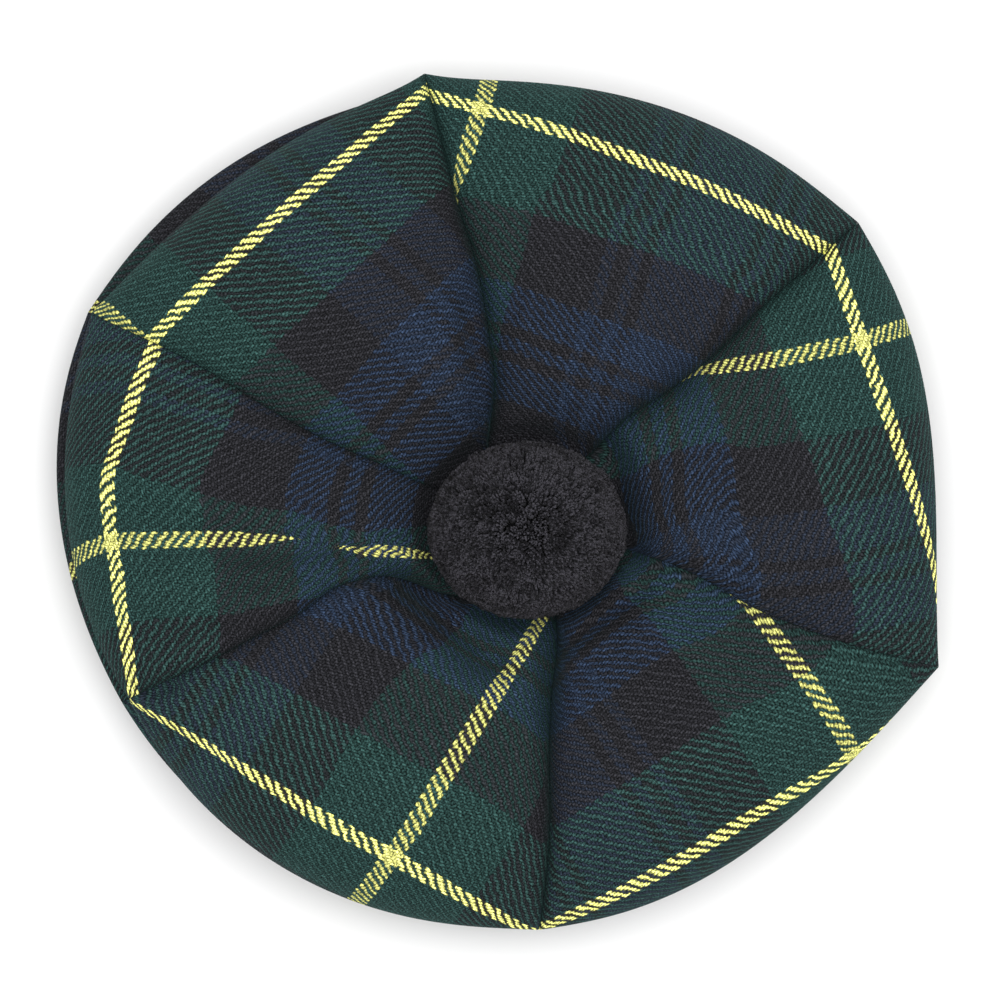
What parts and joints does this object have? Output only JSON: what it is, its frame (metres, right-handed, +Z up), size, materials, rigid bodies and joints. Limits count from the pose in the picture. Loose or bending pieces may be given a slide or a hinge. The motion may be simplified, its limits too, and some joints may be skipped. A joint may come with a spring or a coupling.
{
  "type": "tam o shanter",
  "caption": "Soft round tartan bonnet of six sewn gores, lying crown up on its plain headband, with a tufted wool pompom in the sunk middle of the crown.",
  "frame": {"origin": "middle of the whole hat's plan, on the surface that the headband rests on", "axes": "+Z up through the crown, +Y towards the top of the picture and +X towards its right"},
  "size_m": [0.2836, 0.2751, 0.083],
  "materials": {
    "tartan_cloth": "brushed twill wool",
    "band_cloth": "matt woven wool",
    "pompom_wool": "cut wool yarn",
    "tie_yarn": "matt yarn"
  },
  "bodies": {
    "root": {"gore_ab": "tartan_cloth", "gore_bc": "tartan_cloth", "gore_cd": "tartan_cloth", "gore_de": "tartan_cloth", "gore_ef": "tartan_cloth", "gore_fa": "tartan_cloth", "headband": "band_cloth", "pompom": "pompom_wool", "pompom_tie": "tie_yarn"}
  },
  "joints": []
}
